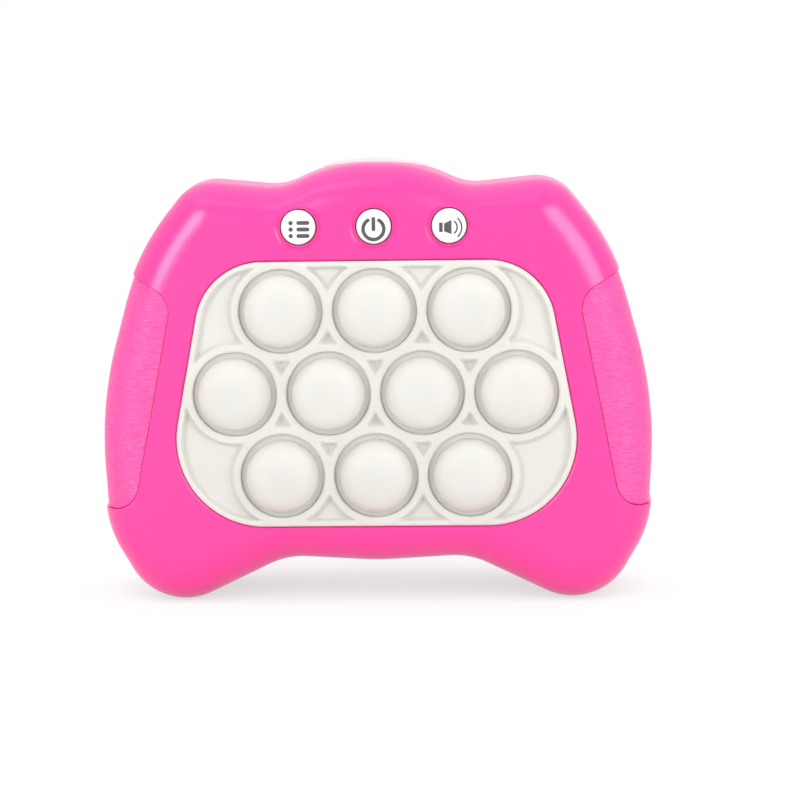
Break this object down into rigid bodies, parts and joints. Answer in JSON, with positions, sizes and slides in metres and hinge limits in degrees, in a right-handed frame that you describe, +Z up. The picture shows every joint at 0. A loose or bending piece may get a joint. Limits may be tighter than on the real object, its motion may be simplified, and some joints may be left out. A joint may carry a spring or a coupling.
{
  "type": "electronic bubble pop game",
  "caption": "Handheld electronic game in a gamepad-shaped casing, with press-in silicone bubbles, front buttons, a top button and a battery door.",
  "frame": {"origin": "centre of the footprint, on the surface the two lower lobes stand on", "axes": "+Z up, X across, the bubbles face -Y and the battery door faces +Y"},
  "size_m": [0.125, 0.055, 0.1],
  "materials": {
    "casing_pink": "satin moulded plastic, hot pink",
    "grip_pink": "same pink with a fine leather-like grain",
    "silicone_white": "matte translucent white silicone",
    "key_white": "satin white",
    "frame_white": "white moulding",
    "board_green": "solder-masked circuit board",
    "light_lens": "clear over white",
    "switch_black": "black moulding",
    "spring_steel": "drawn wire",
    "speaker_metal": "black cone and basket",
    "cell_wrap": "plain shrink wrap",
    "contact_metal": "nickel-plated",
    "screw_steel": "zinc-plated",
    "carbon_black": "conductive rubber"
  },
  "bodies": {
    "casing": {"front_shell": "casing_pink", "rear_shell": "casing_pink", "left_grip": "grip_pink", "right_grip": "grip_pink", "bubble_mat": "silicone_white", "light_frame": "frame_white", "main_board": "board_green", "top_board": "board_green", "bubble_lights": "light_lens", "front_switches": "switch_black", "top_switch": "switch_black", "top_spring": "spring_steel", "speaker": "speaker_metal", "battery_1": "cell_wrap", "battery_2": "cell_wrap", "battery_3": "cell_wrap", "battery_contacts": "contact_metal", "case_screws": "screw_steel", "board_screws": "screw_steel"},
    "bubble_01": {"bubble_01": "silicone_white", "contact_pill_01": "carbon_black"},
    "bubble_02": {"bubble_02": "silicone_white", "contact_pill_02": "carbon_black"},
    "bubble_03": {"bubble_03": "silicone_white", "contact_pill_03": "carbon_black"},
    "bubble_04": {"bubble_04": "silicone_white", "contact_pill_04": "carbon_black"},
    "bubble_05": {"bubble_05": "silicone_white", "contact_pill_05": "carbon_black"},
    "bubble_06": {"bubble_06": "silicone_white", "contact_pill_06": "carbon_black"},
    "bubble_07": {"bubble_07": "silicone_white", "contact_pill_07": "carbon_black"},
    "bubble_08": {"bubble_08": "silicone_white", "contact_pill_08": "carbon_black"},
    "bubble_09": {"bubble_09": "silicone_white", "contact_pill_09": "carbon_black"},
    "bubble_10": {"bubble_10": "silicone_white", "contact_pill_10": "carbon_black"},
    "mode_button": {"mode_button": "key_white"},
    "power_button": {"power_button": "key_white"},
    "sound_button": {"sound_button": "key_white"},
    "top_button": {"top_button": "key_white"},
    "battery_door": {"battery_door": "casing_pink", "door_screw": "screw_steel"}
  },
  "joints": [
    {"name": "bubble_01_press", "type": "slide", "parent": "casing", "child": "bubble_01", "axis": [0, 1, 0], "range_m": [0, 0.0026], "stiffness_N_per_m": 450, "springref_m": -0.0004},
    {"name": "bubble_02_press", "type": "slide", "parent": "casing", "child": "bubble_02", "axis": [0, 1, 0], "range_m": [0, 0.0026], "stiffness_N_per_m": 450, "springref_m": -0.0004},
    {"name": "bubble_03_press", "type": "slide", "parent": "casing", "child": "bubble_03", "axis": [0, 1, 0], "range_m": [0, 0.0026], "stiffness_N_per_m": 450, "springref_m": -0.0004},
    {"name": "bubble_04_press", "type": "slide", "parent": "casing", "child": "bubble_04", "axis": [0, 1, 0], "range_m": [0, 0.0026], "stiffness_N_per_m": 450, "springref_m": -0.0004},
    {"name": "bubble_05_press", "type": "slide", "parent": "casing", "child": "bubble_05", "axis": [0, 1, 0], "range_m": [0, 0.0026], "stiffness_N_per_m": 450, "springref_m": -0.0004},
    {"name": "bubble_06_press", "type": "slide", "parent": "casing", "child": "bubble_06", "axis": [0, 1, 0], "range_m": [0, 0.0026], "stiffness_N_per_m": 450, "springref_m": -0.0004},
    {"name": "bubble_07_press", "type": "slide", "parent": "casing", "child": "bubble_07", "axis": [0, 1, 0], "range_m": [0, 0.0026], "stiffness_N_per_m": 450, "springref_m": -0.0004},
    {"name": "bubble_08_press", "type": "slide", "parent": "casing", "child": "bubble_08", "axis": [0, 1, 0], "range_m": [0, 0.0026], "stiffness_N_per_m": 450, "springref_m": -0.0004},
    {"name": "bubble_09_press", "type": "slide", "parent": "casing", "child": "bubble_09", "axis": [0, 1, 0], "range_m": [0, 0.0026], "stiffness_N_per_m": 450, "springref_m": -0.0004},
    {"name": "bubble_10_press", "type": "slide", "parent": "casing", "child": "bubble_10", "axis": [0, 1, 0], "range_m": [0, 0.0026], "stiffness_N_per_m": 450, "springref_m": -0.0004},
    {"name": "mode_button_press", "type": "slide", "parent": "casing", "child": "mode_button", "axis": [0, 1, 0], "range_m": [0, 0.0007], "stiffness_N_per_m": 1000, "springref_m": -0.0003},
    {"name": "power_button_press", "type": "slide", "parent": "casing", "child": "power_button", "axis": [0, 1, 0], "range_m": [0, 0.0007], "stiffness_N_per_m": 1000, "springref_m": -0.0003},
    {"name": "sound_button_press", "type": "slide", "parent": "casing", "child": "sound_button", "axis": [0, 1, 0], "range_m": [0, 0.0007], "stiffness_N_per_m": 1000, "springref_m": -0.0003},
    {"name": "top_button_press", "type": "slide", "parent": "casing", "child": "top_button", "axis": [0, 0, -1], "range_m": [0, 0.0015], "stiffness_N_per_m": 600, "springref_m": -0.0005, "deforming": ["top_spring"]},
    {"name": "battery_door_hinge", "type": "hinge", "parent": "casing", "child": "battery_door", "pos_m": [-0.032, 0.0275, 0.04375], "axis": [0, 0, 1], "range_deg": [0, 80]}
  ]
}
